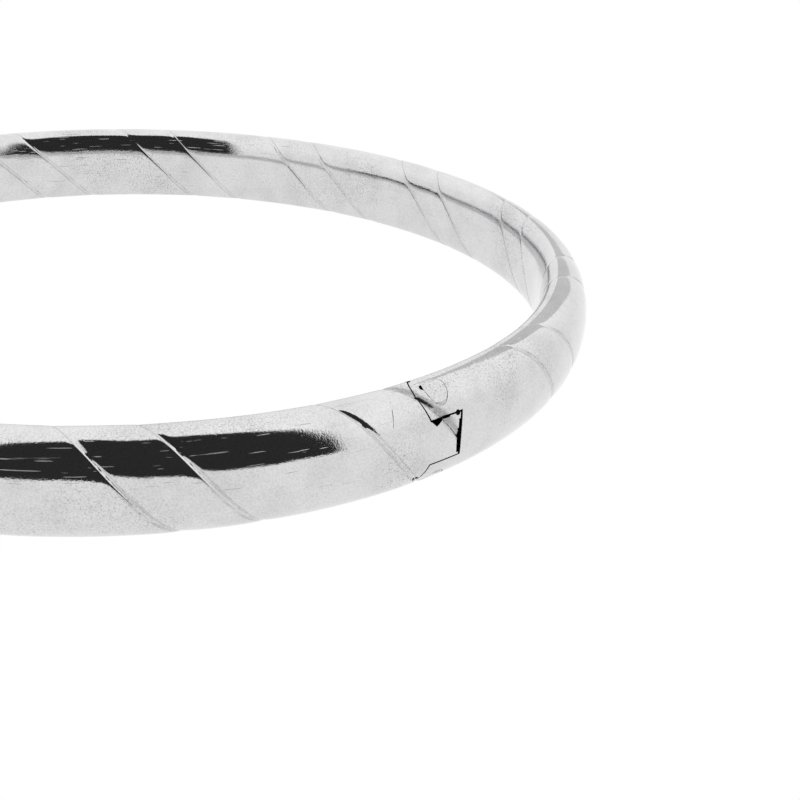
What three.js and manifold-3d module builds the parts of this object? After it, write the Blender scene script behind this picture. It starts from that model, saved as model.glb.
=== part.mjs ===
// Hinged bangle bracelet, millimetres, +Z up. Two hollow half rings lie flat on z = 0 with the
// ring's centre on the Z axis. A three-knuckle hinge joins them on +X. On -X a folded spring
// tongue on the front half (y < 0) enters a slotted plate on the rear half (y > 0), and a
// flat safety hook swings from a post on the front half to a ball-headed post on the rear half.
// Along the ring, places are arc lengths on the tube's centreline; across it, "n" is the
// distance outward from that centreline and "z" is the height.

import * as THREE from 'three';
import { mergeVertices } from 'three/addons/utils/BufferGeometryUtils.js';
import Module from 'manifold-3d';

const wasm = await Module();
wasm.setup();

// Ring and tube section
const RING_RADIUS = 30.25;
const TUBE_HEIGHT = 6.0;
const OUTWARD = 2.06; // centreline to the outer face
const INWARD = 1.24; // centreline to the face on the wrist
const SQUARENESS = 2.5; // superellipse exponent of the section
const WALL = 0.5;
const OUTER_POINTS = 28;
const BORE_POINTS = 16;
const HALF_RING_STEPS = 36;
const MID_Z = TUBE_HEIGHT / 2;

// Gaps
const SEAM = 0.12; // between the two halves when closed
const FIT = 0.02; // between soldered pieces

// Hinge
const PIN_N = 0.81; // pin axis, outward of the centreline
const PIN_RADIUS = 0.4;
const HINGE_TUBE_BORE = 0.44;
const HINGE_TUBE_RADIUS = 0.75;
const BARREL_RADIUS = 1.55;
const RECESS_RADIUS = 1.67;
const FRONT_BLOCK_LENGTH = 2.72;
const REAR_BLOCK_LENGTH = 3.0;
const CENTRE_KNUCKLE = [1.81, 4.36]; // z range
const KNUCKLE_GAP = 0.1;
const UPPER_KNUCKLE_Z = CENTRE_KNUCKLE[1] + KNUCKLE_GAP;
const LOWER_KNUCKLE_Z = CENTRE_KNUCKLE[0] - KNUCKLE_GAP;

// Clasp
const PLATE_THICKNESS = 0.69;
const TONGUE_WIDTH = 3.0;
const LEAF = { inner: -0.4, thickness: 0.3, root: -1.6, end: 4.4 }; // inner in n, root and end in y
const FOLD = { n: 0.02, y: 4.45, bore: 0.12 };
const SPRING_END = { n: 0.55, y: 0.95 }; // underside of the free end
const SLOT = { inner: -0.6, outer: 1.0, width: 3.4 };
const TAB_NOTCH = { width: 1.6, depth: 1.55 };
const TAB_STEM = { inner: 0.87, from: 0.98, to: 1.3, width: 1.2 };
const TAB_PAD = { inner: 2.45, thickness: 0.3, from: 0.3, to: 1.9, width: 2.6, corner: 0.5 };

// Safety catch
const POST_ARC = 1.9; // each post's distance from the clasp seam
const POST_RADIUS = 0.28;
const POST_ROOT_Z = 5.56;
const POST_SHOULDER = { radius: 0.5, bottom: 6.02, top: 6.14 };
const HOOK = { bottom: 6.2, top: 6.6, eye: 0.34, eyeRim: 0.95, loop: 0.4, loopRim: 1.05, waist: 0.9 };
const HOOK_MOUTH = 0.68;
const PIVOT_HEAD = { radius: 0.62, bottom: 6.66, top: 6.92 };
const BALL = { radius: 0.5, z: 7.08 };

// Shapes

/** The ring's centreline between two angles, with frames that keep the section upright. */
class RingArc extends THREE.Curve {
  constructor(from, to) {
    super();
    this.from = from;
    this.to = to;
  }

  getPoint(t, target = new THREE.Vector3()) {
    const angle = this.from + (this.to - this.from) * t;
    return target.set(RING_RADIUS * Math.cos(angle), RING_RADIUS * Math.sin(angle), MID_Z);
  }

  getSpacedPoints(divisions) {
    return Array.from({ length: divisions + 1 }, (_, i) => this.getPoint(i / divisions));
  }

  computeFrenetFrames(segments) {
    const angles = Array.from({ length: segments + 1 }, (_, i) => this.from + ((this.to - this.from) * i) / segments);
    return {
      tangents: angles.map((a) => new THREE.Vector3(-Math.sin(a), Math.cos(a), 0)),
      normals: angles.map((a) => new THREE.Vector3(Math.cos(a), Math.sin(a), 0)),
      binormals: angles.map(() => new THREE.Vector3(0, 0, -1)),
    };
  }
}

/** Superellipse outline, deeper outward than inward, with a narrow flat along its top and bottom. */
function sectionOutline(inset, count) {
  const power = 2 / SQUARENESS;
  const crest = Math.cos(Math.PI / count) ** power;
  const bend = (value) => Math.sign(value) * Math.abs(value) ** power;
  return Array.from({ length: count }, (_, i) => {
    const angle = ((i + 0.5) * 2 * Math.PI) / count;
    const depth = (Math.cos(angle) > 0 ? OUTWARD : INWARD) - inset;
    return new THREE.Vector2(depth * bend(Math.cos(angle)), ((MID_Z - inset) * bend(Math.sin(angle))) / crest);
  });
}

/** The part of the ring between two arc lengths from +X, solid or hollow. */
function ringPart(from, to, steps, hollow = false) {
  const shape = new THREE.Shape(sectionOutline(0, OUTER_POINTS));
  if (hollow) {
    shape.holes.push(new THREE.Path(sectionOutline(WALL, BORE_POINTS)));
  }
  const extrudePath = new RingArc(from / RING_RADIUS, to / RING_RADIUS);
  return solid(new THREE.ExtrudeGeometry(shape, { steps, bevelEnabled: false, extrudePath }));
}

/** A closed three.js geometry as a solid that can be cut and joined. */
function solid(geometry) {
  const closed = geometry.clone();
  closed.deleteAttribute('normal');
  closed.deleteAttribute('uv');
  const merged = mergeVertices(closed, 1e-5);
  const triVerts = Uint32Array.from(merged.index.array);
  const vertProperties = Float32Array.from(merged.attributes.position.array);
  return new wasm.Manifold(new wasm.Mesh({ numProp: 3, vertProperties, triVerts }));
}

/** A box given by its lowest and highest corners. */
function box(low, high) {
  const size = high.map((value, i) => value - low[i]);
  const geometry = new THREE.BoxGeometry(...size);
  geometry.translate(...low.map((value, i) => value + size[i] / 2));
  return solid(geometry);
}

/** An upright cylinder about a point [x, y]. */
function upright([x, y], radius, bottom, top, sides = 24) {
  const geometry = new THREE.CylinderGeometry(radius, radius, top - bottom, sides);
  geometry.rotateX(Math.PI / 2);
  geometry.translate(x, y, (bottom + top) / 2);
  return solid(geometry);
}

/** A turned piece about a point [x, y], from [radius, z] pairs that start and end on the axis. */
function turned([x, y], profile, sides = 24) {
  const geometry = new THREE.LatheGeometry(profile.map(([r, z]) => new THREE.Vector2(r, z)), sides);
  geometry.rotateX(Math.PI / 2);
  geometry.translate(x, y, 0);
  return solid(geometry);
}

/** A flat outline in the XY plane raised between two heights. */
function raised(shape, bottom, top) {
  const geometry = new THREE.ExtrudeGeometry(shape, { depth: top - bottom, bevelEnabled: false, curveSegments: 12 });
  geometry.translate(0, 0, bottom);
  return solid(geometry);
}

/** The point at distance n outward of the centreline on the clasp side, as [x, y]. */
const claspPoint = (n, y) => [-(RING_RADIUS + n), y];

/** A box on the clasp side, from ranges in n and y and a width centred on the tube. */
function claspBox([nLow, nHigh], [yLow, yHigh], width) {
  const [xLow] = claspPoint(nHigh, 0);
  const [xHigh] = claspPoint(nLow, 0);
  return box([xLow, yLow, MID_Z - width / 2], [xHigh, yHigh, MID_Z + width / 2]);
}

// Materials

const silver = (color, roughness) => new THREE.MeshStandardMaterial({ color, roughness, metalness: 1.0 });
const POLISHED = silver(0xe6e6e4, 0.22);
const SATIN = silver(0xd2d2d0, 0.35);
const HARD_WIRE = silver(0xbfbfbf, 0.3);

const bangle = new THREE.Group();

/** Adds one named piece to the bangle. */
function add(name, manifold, material) {
  const { vertProperties, triVerts, numProp } = manifold.getMesh();
  const geometry = new THREE.BufferGeometry();
  const positions = new THREE.InterleavedBuffer(vertProperties, numProp);
  geometry.setAttribute('position', new THREE.InterleavedBufferAttribute(positions, 3, 0));
  geometry.setIndex(new THREE.BufferAttribute(triVerts, 1));
  const flat = geometry.toNonIndexed();
  flat.computeVertexNormals();
  const mesh = new THREE.Mesh(flat, material);
  mesh.name = name;
  bangle.add(mesh);
}

// Hinge: the upper and lower knuckles belong to the rear half, the centre knuckle to the front.

const pinPoint = [RING_RADIUS + PIN_N, 0];
const BELOW = -1;
const ABOVE = TUBE_HEIGHT + 1;
const reach = RING_RADIUS + 10;
const hingeEnd = ringPart(-FRONT_BLOCK_LENGTH, REAR_BLOCK_LENGTH, 4);
const frontSide = box([0, -reach, BELOW], [reach, -SEAM / 2, ABOVE]);
const rearSide = box([0, SEAM / 2, BELOW], [reach, reach, ABOVE]);
const tubeHole = upright(pinPoint, HINGE_TUBE_RADIUS + FIT, BELOW, ABOVE);

/** One knuckle's barrel, or the recess that clears a barrel. */
const barrel = (bottom, top) => upright(pinPoint, BARREL_RADIUS, bottom, top, 40).intersect(hingeEnd);
const recess = (bottom, top) => upright(pinPoint, RECESS_RADIUS, bottom, top, 40);

const frontKnuckle = hingeEnd
  .intersect(frontSide)
  .subtract(recess(CENTRE_KNUCKLE[1], ABOVE))
  .subtract(recess(BELOW, CENTRE_KNUCKLE[0]))
  .add(barrel(...CENTRE_KNUCKLE))
  .subtract(tubeHole);

const rearKnuckles = hingeEnd
  .intersect(rearSide)
  .subtract(recess(LOWER_KNUCKLE_Z, UPPER_KNUCKLE_Z))
  .add(barrel(UPPER_KNUCKLE_Z, ABOVE))
  .add(barrel(BELOW, LOWER_KNUCKLE_Z))
  .subtract(tubeHole);

/** A length of hinge tube inside one knuckle, filed flush with the bangle's face. */
function hingeTube(bottom, top) {
  const wall = upright(pinPoint, HINGE_TUBE_RADIUS, bottom, top);
  return wall.subtract(upright(pinPoint, HINGE_TUBE_BORE, BELOW, ABOVE)).intersect(hingeEnd);
}

add('rear_hinge_knuckles', rearKnuckles, POLISHED);
add('front_hinge_knuckle', frontKnuckle, POLISHED);
add('hinge_tube_upper', hingeTube(UPPER_KNUCKLE_Z, ABOVE), SATIN);
add('hinge_tube_centre', hingeTube(...CENTRE_KNUCKLE), SATIN);
add('hinge_tube_lower', hingeTube(BELOW, LOWER_KNUCKLE_Z), SATIN);
add('hinge_pin', upright(pinPoint, PIN_RADIUS, BELOW, ABOVE).intersect(hingeEnd), HARD_WIRE);

// Safety catch posts and hook

const halfTurn = Math.PI * RING_RADIUS;

/** The point on the centreline at an arc length from the clasp seam; positive is the rear half. */
function nearClasp(arc) {
  const angle = Math.PI - arc / RING_RADIUS;
  return [RING_RADIUS * Math.cos(angle), RING_RADIUS * Math.sin(angle)];
}

const pivotPoint = nearClasp(-POST_ARC);
const catchPoint = nearClasp(POST_ARC);
const postHole = (point) => upright(point, POST_RADIUS + FIT, MID_Z, ABOVE);

/** A post let into the top of the tube, with a shoulder that carries the hook. */
function post(point, head) {
  const { radius, bottom, top } = POST_SHOULDER;
  const profile = [[0, POST_ROOT_Z], [POST_RADIUS, POST_ROOT_Z], [POST_RADIUS, bottom], [radius, bottom]];
  profile.push([radius, top], [POST_RADIUS, top], ...head);
  return turned(point, profile);
}

/** Ball head, from where it meets the post up to its crown. */
function ballProfile() {
  const start = Math.asin(POST_RADIUS / BALL.radius);
  return Array.from({ length: 9 }, (_, i) => {
    const angle = start + ((Math.PI - start) * i) / 8;
    const radius = i === 8 ? 0 : BALL.radius * Math.sin(angle);
    return [radius, BALL.z - BALL.radius * Math.cos(angle)];
  });
}

const rivetHead = [
  [POST_RADIUS, PIVOT_HEAD.bottom],
  [PIVOT_HEAD.radius, PIVOT_HEAD.bottom],
  [PIVOT_HEAD.radius * 0.8, (PIVOT_HEAD.bottom + PIVOT_HEAD.top * 3) / 4],
  [PIVOT_HEAD.radius * 0.4, PIVOT_HEAD.top],
  [0, PIVOT_HEAD.top],
];

/** The flat hook: an eye on the pivot, a waist, and a loop whose mouth follows the swing. */
function safetyHook() {
  const length = Math.hypot(pivotPoint[0] - catchPoint[0], pivotPoint[1] - catchPoint[1]);
  const parked = nearClasp(-POST_ARC - 2 * RING_RADIUS * Math.asin(length / 2 / RING_RADIUS));
  const along = [(parked[0] - pivotPoint[0]) / length, (parked[1] - pivotPoint[1]) / length];
  const across = [along[1], -along[0]]; // towards the side that leads as the hook closes
  const at = (u, v) => [
    pivotPoint[0] + along[0] * u + across[0] * v,
    pivotPoint[1] + along[1] * u + across[1] * v,
  ];
  const outline = (corners) => new THREE.Shape(corners.map(([u, v]) => new THREE.Vector2(...at(u, v))));
  const plate = (corners) => raised(outline(corners), HOOK.bottom, HOOK.top);
  const disc = (point, radius) => upright(point, radius, HOOK.bottom, HOOK.top, 32);
  const half = HOOK.waist / 2;
  const far = length + 2 * HOOK.loopRim;
  const band = disc(pivotPoint, length + HOOK_MOUTH / 2).subtract(disc(pivotPoint, length - HOOK_MOUTH / 2));
  const leading = plate([[length, 0], [far, 0], [far, far], [0, far], [0, HOOK.loopRim], [length, HOOK.loop / 2]]);
  return disc(pivotPoint, HOOK.eyeRim)
    .add(plate([[0, -half], [length, -half], [length, half], [0, half]]))
    .add(disc(parked, HOOK.loopRim))
    .subtract(disc(pivotPoint, HOOK.eye))
    .subtract(disc(parked, HOOK.loop))
    .subtract(band.intersect(leading));
}

add('safety_pivot_post', post(pivotPoint, rivetHead), POLISHED);
add('safety_catch_post', post(catchPoint, ballProfile()), POLISHED);
add('safety_hook', safetyHook(), HARD_WIRE);

// Half rings: hollow tubes between the hinge blocks and the clasp plates.

const clearOfPlate = halfTurn - SEAM / 2 - PLATE_THICKNESS - FIT;
const notch = claspBox([SLOT.outer - 1, OUTWARD + 1], [0, TAB_NOTCH.depth], TAB_NOTCH.width);

const rearTube = ringPart(REAR_BLOCK_LENGTH + FIT, clearOfPlate, HALF_RING_STEPS, true)
  .subtract(notch)
  .subtract(postHole(catchPoint));
const frontTube = ringPart(-clearOfPlate, -FRONT_BLOCK_LENGTH - FIT, HALF_RING_STEPS, true)
  .subtract(postHole(pivotPoint));

add('rear_tube', rearTube, POLISHED);
add('front_tube', frontTube, POLISHED);

// Clasp: end plates, the fixed leaf, the folded spring leaf and its thumb tab.

const plateStart = halfTurn - SEAM / 2;
const slot = claspBox([SLOT.inner, SLOT.outer], [-1, 1.5], SLOT.width);
const catchPlate = ringPart(plateStart - PLATE_THICKNESS, plateStart, 1).subtract(slot).subtract(notch);
add('catch_plate', catchPlate, SATIN);

const leafOuter = LEAF.inner + LEAF.thickness;
const leafSlot = claspBox([LEAF.inner - FIT, leafOuter + FIT], [-1.5, 1], TONGUE_WIDTH + 2 * FIT);
const tonguePlate = ringPart(-plateStart, -plateStart + PLATE_THICKNESS, 1).subtract(leafSlot);
add('tongue_plate', tonguePlate, SATIN);
add('tongue_leaf', claspBox([LEAF.inner, leafOuter], [LEAF.root, LEAF.end], TONGUE_WIDTH), HARD_WIRE);

/** The outward leaf of the tongue: a half-round fold at the tip, then a strip that rises to the mouth. */
function springLeaf() {
  const outside = FOLD.bore + LEAF.thickness;
  const [x, y] = claspPoint(FOLD.n, FOLD.y);
  const shape = new THREE.Shape();
  shape.moveTo(x + outside, y);
  shape.absarc(x, y, outside, 0, Math.PI, false);
  shape.lineTo(...claspPoint(SPRING_END.n + LEAF.thickness, SPRING_END.y));
  shape.lineTo(...claspPoint(SPRING_END.n, SPRING_END.y));
  shape.lineTo(x - FOLD.bore, y);
  shape.absarc(x, y, FOLD.bore, Math.PI, 0, true);
  return raised(shape, MID_Z - TONGUE_WIDTH / 2, MID_Z + TONGUE_WIDTH / 2);
}

/** The thumb tab: a stem through the notch with a round-cornered pad outside the tube. */
function thumbTab() {
  const { from, to, width, corner, inner, thickness } = TAB_PAD;
  const halfWidth = width / 2;
  const [u, v] = [halfWidth - corner, (to - from) / 2 - corner];
  const outline = new THREE.Shape();
  outline.absarc(u, v, corner, 0, Math.PI / 2, false);
  outline.absarc(-u, v, corner, Math.PI / 2, Math.PI, false);
  outline.absarc(-u, -v, corner, Math.PI, Math.PI * 1.5, false);
  outline.absarc(u, -v, corner, Math.PI * 1.5, Math.PI * 2, false);
  const pad = new THREE.ExtrudeGeometry(outline, { depth: thickness, bevelEnabled: false, curveSegments: 4 });
  pad.rotateY(-Math.PI / 2);
  pad.translate(claspPoint(inner, 0)[0], (from + to) / 2, MID_Z);
  const stem = claspBox([TAB_STEM.inner, inner + thickness / 2], [TAB_STEM.from, TAB_STEM.to], TAB_STEM.width);
  return solid(pad).add(stem);
}

add('tongue_spring', springLeaf(), HARD_WIRE);
add('thumb_tab', thumbTab(), POLISHED);

export default bangle;
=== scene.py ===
"""Looks of a hinged silver bangle with a twisted double groove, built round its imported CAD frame.

Shapes are worked out in millimetres as numpy surfaces, cut and joined as closed solids, and put into
metres when each piece is finished. The ring lies flat with its centre on the Z axis; the hinge pin is
on +X and the clasp on -X; the rear half is on +Y and the front half on -Y.
"""

import logging
import math
from dataclasses import dataclass, field
from enum import Enum

import bmesh
import bpy
import numpy as np
from mathutils import Matrix, Vector


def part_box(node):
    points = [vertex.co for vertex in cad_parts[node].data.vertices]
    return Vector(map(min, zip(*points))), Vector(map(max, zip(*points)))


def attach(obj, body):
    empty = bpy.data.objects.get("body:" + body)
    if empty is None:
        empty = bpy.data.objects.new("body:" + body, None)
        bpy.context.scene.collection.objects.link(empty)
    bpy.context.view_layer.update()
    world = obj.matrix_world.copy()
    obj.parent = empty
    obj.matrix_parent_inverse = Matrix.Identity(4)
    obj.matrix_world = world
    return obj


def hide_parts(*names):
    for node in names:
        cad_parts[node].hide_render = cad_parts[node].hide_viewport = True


log = logging.getLogger("bangle")
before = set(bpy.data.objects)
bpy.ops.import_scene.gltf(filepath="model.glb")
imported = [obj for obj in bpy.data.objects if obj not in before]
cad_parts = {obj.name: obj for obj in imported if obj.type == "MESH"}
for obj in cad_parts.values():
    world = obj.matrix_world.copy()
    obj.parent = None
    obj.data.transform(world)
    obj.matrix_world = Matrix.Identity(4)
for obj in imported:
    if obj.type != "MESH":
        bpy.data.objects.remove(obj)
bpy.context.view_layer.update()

MM = 0.001

# The pin stands this far outside the tube's centreline, which gives the ring's radius from the frame.
PIN_OUT = 0.81
PIN_LOW, PIN_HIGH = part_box("hinge_pin")
RING_RADIUS = round(round((PIN_LOW[0] + PIN_HIGH[0]) / 2 / MM, 2) - PIN_OUT, 2)
TUBE_LOW, TUBE_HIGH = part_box("rear_tube")
MID_Z = round((TUBE_LOW[2] + TUBE_HIGH[2]) / 2 / MM, 2)

# The gap between the halves, the play between fitted pieces, and two heights clear of the ring.
SEAM = 0.12
FIT = 0.01
ABOVE, BELOW = 9.0, -2.0

# A face this much deeper than the groove is a cut wall. So is one turned so far from the outline that
# the cosine between their normals is less than this: by a groove line, and on the plain tube. The one
# limit passes into the other between these two distances from the line.
WALL_DEPTH = 0.06
FLANK_FACING, PLAIN_FACING = 0.6, 0.9
FLANK_REACH = (0.1, 0.3)

# Points nearer to each other than this are one point.
MERGE = 1e-4

# How many points the length of the section's outline is measured along.
OUTLINE_POINTS = 20001

Array = np.ndarray
Tree = bpy.types.NodeTree
Socket = bpy.types.NodeSocket
Point = tuple[float, float]
Bead = tuple[float, float, float, float]


class Body(Enum):
    """The bangle's rigid bodies, by their names in the frame."""

    REAR = "rear_half"
    FRONT = "front_half"
    TONGUE = "tongue"
    SAFETY = "safety"


class Cut(Enum):
    """How one solid works on another."""

    AWAY = "DIFFERENCE"
    COMMON = "INTERSECT"
    TOGETHER = "UNION"


# Surfaces of the ring


@dataclass(frozen=True)
class TubeSection:
    """Section of the tube: a rounder superellipse outward, a squarer one towards the wrist."""

    half_height: float = 3.0
    outward: float = 2.06
    inward: float = 1.24
    outer_squareness: float = 2.1
    inner_squareness: float = 2.5
    inset: float = 0.0

    def _side(self, outside: Array) -> tuple[Array, Array]:
        """Depth and squareness of the side that each point is on."""
        depth = np.where(outside, self.outward, self.inward) - self.inset
        return depth, np.where(outside, self.outer_squareness, self.inner_squareness)

    def _outline(self, angle: Array) -> tuple[Array, Array]:
        """The outline at superellipse angles: cosine and sine to the power 2 / squareness.

        Args:
            angle: radians, 0 outward and pi / 2 upward.

        Returns:
            Distance outward, and height above the middle.
        """
        depth, squareness = self._side(np.cos(angle) > 0)
        bend = [np.sign(v) * np.abs(v) ** (2.0 / squareness) for v in (np.cos(angle), np.sin(angle))]
        return depth * bend[0], (self.half_height - self.inset) * bend[1]

    def _angles(self) -> tuple[Array, Array, float]:
        """The outline measured along itself, from the crest outward and down.

        Returns:
            Superellipse angles, the share of the girth at each, and the girth.
        """
        angle = np.pi / 2 - np.linspace(0.0, 2 * np.pi, OUTLINE_POINTS)
        out, up = self._outline(angle)
        run = np.concatenate([[0.0], np.cumsum(np.hypot(np.diff(out), np.diff(up)))])
        return angle, run / run[-1], float(run[-1])

    @property
    def girth(self) -> float:
        """Length of the outline once round."""
        return self._angles()[2]

    def at(self, turn: Array) -> tuple[Array, Array, Array, Array]:
        """The outline by share of its girth.

        Args:
            turn: 0 at the crest, rising outward and down, 1 at the crest again.

        Returns:
            Distance outward, height above the middle, and the two parts of the outward normal. The
            normal is the superellipse's gradient: each share of the half-axis to the power squareness - 1.
        """
        angle, share, _ = self._angles()
        out, up = self._outline(np.interp(np.mod(turn, 1.0), share, angle))
        depth, squareness = self._side(out > 0)
        high = self.half_height - self.inset
        slope_out = np.sign(out) * (np.abs(out) / depth) ** (squareness - 1.0) / depth
        slope_up = np.sign(up) * (np.abs(up) / high) ** (squareness - 1.0) / high
        size = np.hypot(slope_out, slope_up)
        return out, up, slope_out / size, slope_up / size

    def turn_of(self, out: Array, up: Array) -> Array:
        """Share of the girth of points on or near the outline, by their superellipse angle.

        Args:
            out: distance outward.
            up: height above the middle.

        Returns:
            The share at each point, 0 at the crest.
        """
        depth, squareness = self._side(out > 0)
        cosine = np.sign(out) * (np.abs(out) / depth) ** (squareness / 2.0)
        sine = np.sign(up) * (np.abs(up) / self.half_height) ** (squareness / 2.0)
        angle, share, _ = self._angles()
        fall = np.mod(np.pi / 2 - np.arctan2(sine, cosine), 2 * np.pi)
        return np.interp(fall, np.pi / 2 - angle, share)

    def below(self, out: Array, up: Array) -> Array:
        """How far inside the outline points lie, measured along the line from the centreline.

        Args:
            out: distance outward.
            up: height above the middle.

        Returns:
            The depth of each point, less than 0 outside.
        """
        depth, squareness = self._side(out > 0)
        level = (np.abs(out) / depth) ** squareness + (np.abs(up) / self.half_height) ** squareness
        almost_none = 1e-6
        share = np.maximum(level, almost_none) ** (1.0 / squareness)
        return np.hypot(out, up) * (1.0 / share - 1.0)


def ease(value: Array, low: float, high: float) -> Array:
    """Smooth step from 0 at low to 1 at high: 3 t^2 - 2 t^3 of the clamped share t."""
    share = np.clip((value - low) / (high - low), 0.0, 1.0)
    return share * share * (3.0 - 2.0 * share)


@dataclass(frozen=True)
class TwistGroove:
    """Pairs of fine grooves that wind round the tube like the lay of a rope.

    A stretch is a pair of arc lengths from the hinge pin. The grooves have their full depth between
    rising and falling, two spans of the turn, and the inner share of it elsewhere.
    """

    section: TubeSection
    turns: int = 14
    first: float = -2.753
    between: float = 4.19
    channel_depth: float = 0.055
    channel_width: float = 0.06
    lip: float = 0.13
    lip_width: float = 0.035
    # The lip lines' darkness: partly tarnish, partly painted shade.
    lip_tarnish_and_shade: float = 0.4
    shoulder_depth: float = 0.075
    shoulder_widths: Point = (0.26, 0.46)
    lean: float = 0.34
    inner_share: float = 0.4
    rising: Point = (0.02, 0.09)
    falling: Point = (0.5, 0.6)
    missing: Point = (0.85, 4.6)
    missing_reach: float = 1.5
    facet: Point = (-2.9, 1.0)
    facet_depth: float = 0.05
    facet_width: float = 0.42
    facet_turn: float = 0.27
    # The filed facet's darkness: painted shade.
    facet_painted_shade: float = 0.6
    sampled: tuple[float, ...] = (0.0, 0.02, 0.045, 0.075, 0.11, 0.16, 0.23, 0.32, 0.45, 0.65, 0.95)

    @property
    def pitch(self) -> float:
        """Advance along the ring for one turn round the tube."""
        return 2 * np.pi * RING_RADIUS / self.turns

    @property
    def lines(self) -> tuple[float, float]:
        """Arc lengths at the crest of the two lines of a pair."""
        return self.first - self.between, self.first

    @property
    def slant(self) -> float:
        """Share of a distance along the ring that is square to the groove."""
        girth = self.section.girth
        return girth / math.hypot(girth, self.pitch)

    def offset(self, along: Array, turn: Array) -> Array:
        """Signed distance over the face to the nearest groove line.

        Each line runs at along = line + pitch x turn + lean x cosine of the turn, a little steeper over
        the crest. One stretch of the nearer line, just past the hinge seam, was never cut, so there the
        distance is made large.

        Args:
            along: arc length from the hinge pin.
            turn: share of the girth from the crest.

        Returns:
            The distance, more than 0 beyond the line along the ring.
        """
        far_off = 9.0
        shift = along - self.pitch * turn - self.lean * np.cos(2 * np.pi * turn) + self.pitch / 2
        gaps = [np.mod(shift - line, self.pitch) - self.pitch / 2 for line in self.lines]
        uncut = np.abs(along - self.first - self.pitch * np.mod(turn, 1.0)) < self.missing_reach
        uncut &= (along > self.missing[0]) & (along < self.missing[1])
        gaps[1] = np.where(uncut, far_off, gaps[1])
        return self.slant * np.where(np.abs(gaps[0]) < np.abs(gaps[1]), gaps[0], gaps[1])

    def depth(self, along: Array, turn: Array) -> Array:
        """Depth of the face below the plain tube.

        A narrow bell for the channel lies on the pillowed shoulders, which fall away exponentially, the
        farther shoulder more gently. Across the hinge the groove was filed wider: a facet rises evenly
        on one side. On the wrist side everything is shallower.

        Args:
            along: arc length from the hinge pin.
            turn: share of the girth from the crest.

        Returns:
            The depth at each point.
        """
        offset = self.offset(along, turn)
        share = np.mod(turn, 1.0)
        added = (1 - self.inner_share) * ease(share, *self.rising) * (1 - ease(share, *self.falling))
        strength = self.inner_share + added
        channel = self.channel_depth * np.exp(-((offset / self.channel_width) ** 2))
        width = np.where(offset < 0, *self.shoulder_widths)
        shoulder = self.shoulder_depth * np.exp(-np.abs(offset) / width)
        slope = np.clip(1.0 - offset / self.facet_width, 0.0, 1.0) * (offset > 0)
        return strength * (channel + shoulder) + self.is_filed(along, turn) * self.facet_depth * slope

    def is_filed(self, along: Array, turn: Array) -> Array:
        """True in the stretch across the upper half of the hinge where the groove is a facet."""
        above = np.abs(np.mod(turn + 0.5, 1.0) - 0.5) < self.facet_turn
        return above & (along > self.facet[0]) & (along < self.facet[1])

    def tarnish_and_painted_shade(self, along: Array, turn: Array) -> Array:
        """Thin dark lines on the channel's lips, tarnish and painted shade; painted shade on the filed
        facet.

        Args:
            along: arc length from the hinge pin.
            turn: share of the girth from the crest.

        Returns:
            The share at each point.
        """
        offset = self.offset(along, turn)
        channel = self.lip_tarnish_and_shade * np.exp(-(((np.abs(offset) - self.lip) / self.lip_width) ** 2))
        facet = self.facet_painted_shade * ease(offset, 0.0, 0.1)
        facet = facet * (1 - ease(offset, 0.8 * self.facet_width, self.facet_width))
        return np.maximum(channel, self.is_filed(along, turn) * facet)

    def places(self, plain_step: float) -> Array:
        """Places across one pitch to sample, close together on each groove.

        Args:
            plain_step: about how far apart they are between grooves.

        Returns:
            Arc lengths at the crest, rising.
        """
        fine = np.array(self.sampled) / self.slant
        local = np.concatenate([-fine[:0:-1], fine])
        places = []
        for line, after in ((self.lines[0], self.between), (self.lines[1], self.pitch - self.between)):
            count = max(3, round(after / plain_step))
            plain = np.linspace(fine[-1], after - fine[-1], count)[1:-1]
            places.append(line + np.concatenate([local, plain]))
        return np.concatenate(places)


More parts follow.
